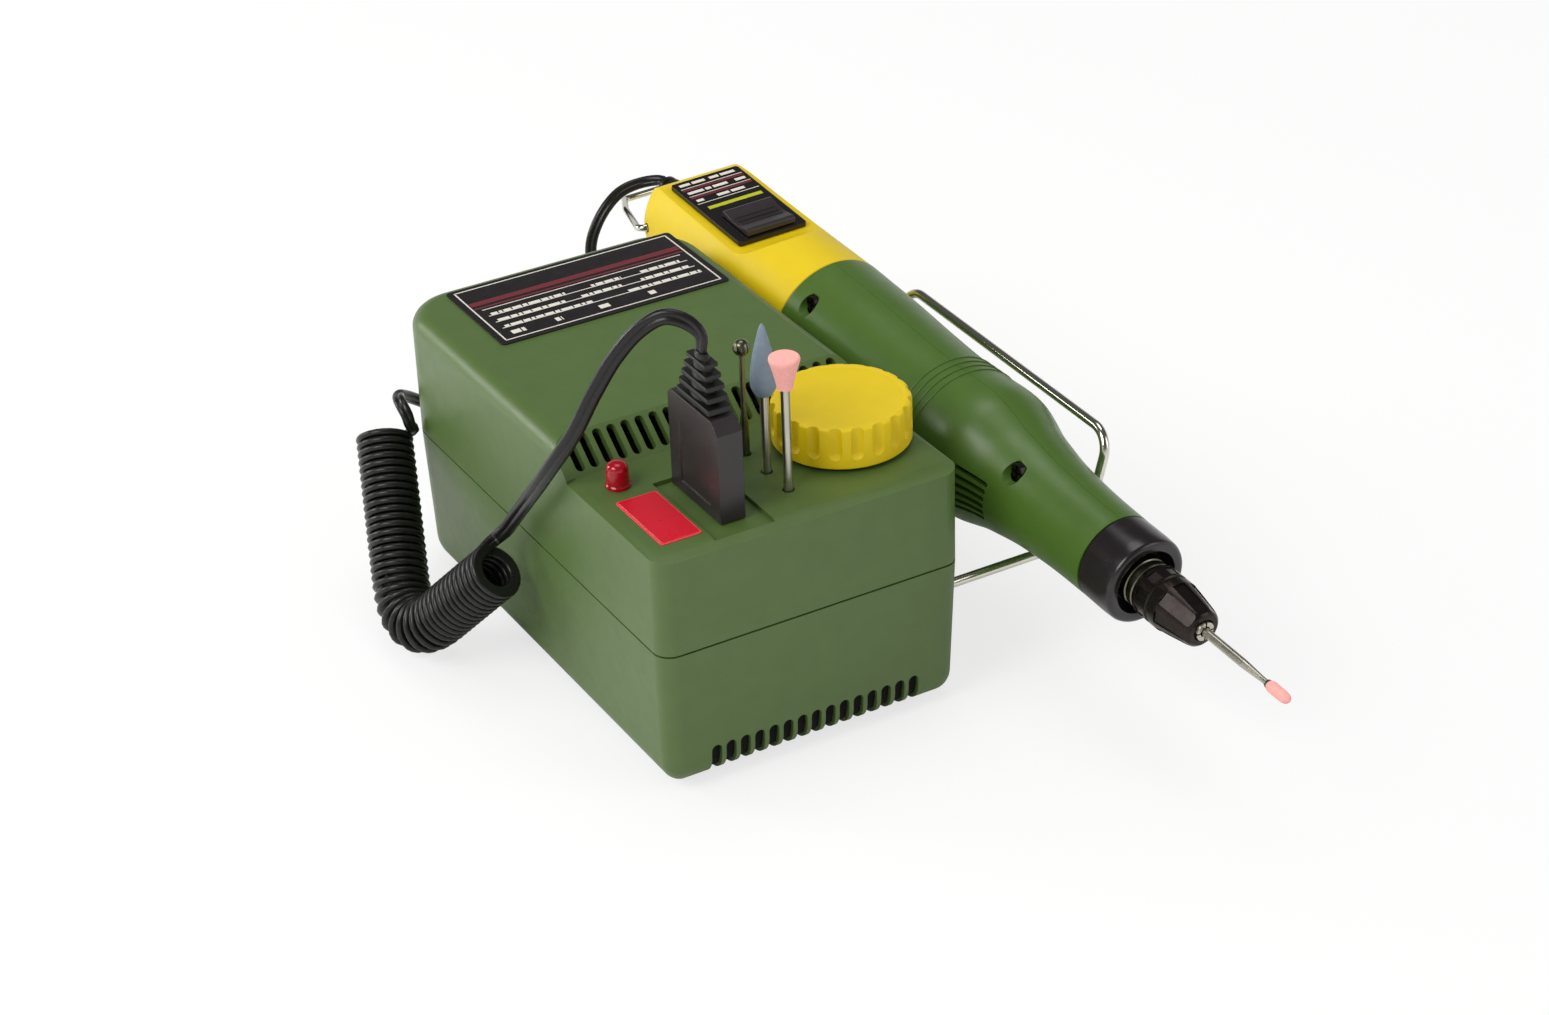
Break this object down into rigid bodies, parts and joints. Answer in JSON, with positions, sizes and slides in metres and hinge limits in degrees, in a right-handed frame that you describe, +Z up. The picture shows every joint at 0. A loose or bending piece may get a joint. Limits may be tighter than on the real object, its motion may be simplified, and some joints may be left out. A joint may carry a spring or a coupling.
{
  "type": "rotary tool",
  "caption": "Low-voltage rotary tool in a wire cradle on its mains power unit, with a speed knob, a curly lead and a row of small tools.",
  "frame": {"origin": "centre of the power unit's underside; the rubber feet reach 2 mm below it", "axes": "+X towards the cradle and drill at the unit's right, +Y from its front to its rear, +Z up"},
  "size_m": [0.1646, 0.2899, 0.1194],
  "materials": {
    "case_green": "moulded green plastic with a fine texture",
    "drill_green": "moulded green plastic, satin",
    "yellow": "moulded yellow plastic, satin",
    "black_plastic": "moulded black plastic",
    "black_rubber": "soft black cord jacket and rubber",
    "red_plastic": "glossy red plastic",
    "black_plate": "printed black plate",
    "steel": "bright steel",
    "wire_chrome": "bright plated wire",
    "dark_steel": "blackened steel",
    "laminations": "stacked laminations",
    "copper": "enamelled copper wire",
    "brass": "turned brass",
    "board": "circuit board",
    "pink_stone": "pink abrasive",
    "blue_rubber": "blue-grey polishing rubber"
  },
  "bodies": {
    "housing": {"base_tray": "case_green", "top_cover": "case_green", "rating_plate": "black_plate", "red_plate": "red_plastic", "pilot_lamp": "red_plastic", "mains_inlet_bush": "black_rubber", "transformer_core": "laminations", "transformer_winding": "copper", "circuit_board": "board", "speed_potentiometer": "black_plastic", "output_socket": "black_plastic", "cord_coil": "black_rubber", "cord_lead": "black_rubber", "cord_tail": "black_rubber", "case_screw_front_left": "steel", "case_screw_rear_left": "steel", "case_screw_front_right": "steel", "case_screw_rear_right": "steel", "rubber_foot_front_left": "black_rubber", "rubber_foot_rear_left": "black_rubber", "rubber_foot_front_right": "black_rubber", "rubber_foot_rear_right": "black_rubber"},
    "knob": {"speed_knob": "yellow", "potentiometer_shaft": "steel"},
    "plug": {"plug_body": "black_plastic", "plug_relief": "black_rubber", "plug_pin_front": "steel", "plug_pin_rear": "steel"},
    "burr": {"ball_burr": "dark_steel"},
    "rubber_cone": {"rubber_cone_shank": "steel", "rubber_cone_head": "blue_rubber"},
    "inverted_stone": {"inverted_stone_shank": "steel", "inverted_stone_head": "pink_stone"},
    "cradle": {"wire_cradle": "wire_chrome"},
    "drill": {"body_shell_left": "drill_green", "body_shell_right": "drill_green", "shell_screw_rear": "dark_steel", "shell_screw_front": "dark_steel", "rear_cap": "yellow", "switch_panel": "black_plate", "switch_block": "black_plastic", "tail_relief": "black_rubber", "motor_can": "steel", "bearing_rear": "steel", "bearing_front": "steel", "nose_ring": "black_plastic"},
    "switch": {"slide_switch": "black_plastic"},
    "bail": {"hanging_bail": "wire_chrome"},
    "spindle": {"spindle": "steel", "motor_shaft": "steel", "drive_coupling": "brass", "cooling_fan": "black_plastic", "collet_holder": "steel", "collet": "steel"},
    "nut": {"collet_nut": "dark_steel"},
    "point": {"point_shank": "steel", "point_head": "pink_stone"}
  },
  "joints": [
    {"name": "knob_turn", "type": "hinge", "parent": "housing", "child": "knob", "pos_m": [0.0251, -0.0458, 0.0683], "axis": [0, 0, 1], "range_deg": [0, 270]},
    {"name": "plug_pull", "type": "slide", "parent": "housing", "child": "plug", "axis": [0, 0, 1], "range_m": [0, 0.02], "deforming": ["cord_lead"]},
    {"name": "burr_pull", "type": "slide", "parent": "housing", "child": "burr", "axis": [0, 0, 1], "range_m": [0, 0.025]},
    {"name": "cone_pull", "type": "slide", "parent": "housing", "child": "rubber_cone", "axis": [0, 0, 1], "range_m": [0, 0.025]},
    {"name": "stone_pull", "type": "slide", "parent": "housing", "child": "inverted_stone", "axis": [0, 0, 1], "range_m": [0, 0.025]},
    {"name": "cradle_pull", "type": "slide", "parent": "housing", "child": "cradle", "axis": [1, 0, 0], "range_m": [0, 0.012]},
    {"name": "drill_lift", "type": "slide", "parent": "cradle", "child": "drill", "axis": [0, 0, 1], "range_m": [0, 0.06], "deforming": ["cord_tail"]},
    {"name": "switch_slide", "type": "slide", "parent": "drill", "child": "switch", "axis": [-0.0538, 0.9927, 0.108], "range_m": [0, 0.003]},
    {"name": "bail_swing", "type": "hinge", "parent": "drill", "child": "bail", "pos_m": [0.06214, 0.0952, 0.06434], "axis": [0.9985, 0.0541, 0], "range_deg": [-85, 85]},
    {"name": "spindle_turn", "type": "hinge", "parent": "drill", "child": "spindle", "pos_m": [0.0658, 0.0277, 0.057], "axis": [0.0538, -0.9927, -0.108], "continuous": true},
    {"name": "nut_turn", "type": "hinge", "parent": "spindle", "child": "nut", "pos_m": [0.07386, -0.1212, 0.0408], "axis": [0.0538, -0.9927, -0.108], "range_deg": [0, 360]},
    {"name": "point_pull", "type": "slide", "parent": "spindle", "child": "point", "axis": [0.0538, -0.9927, -0.108], "range_m": [0, 0.025]}
  ]
}
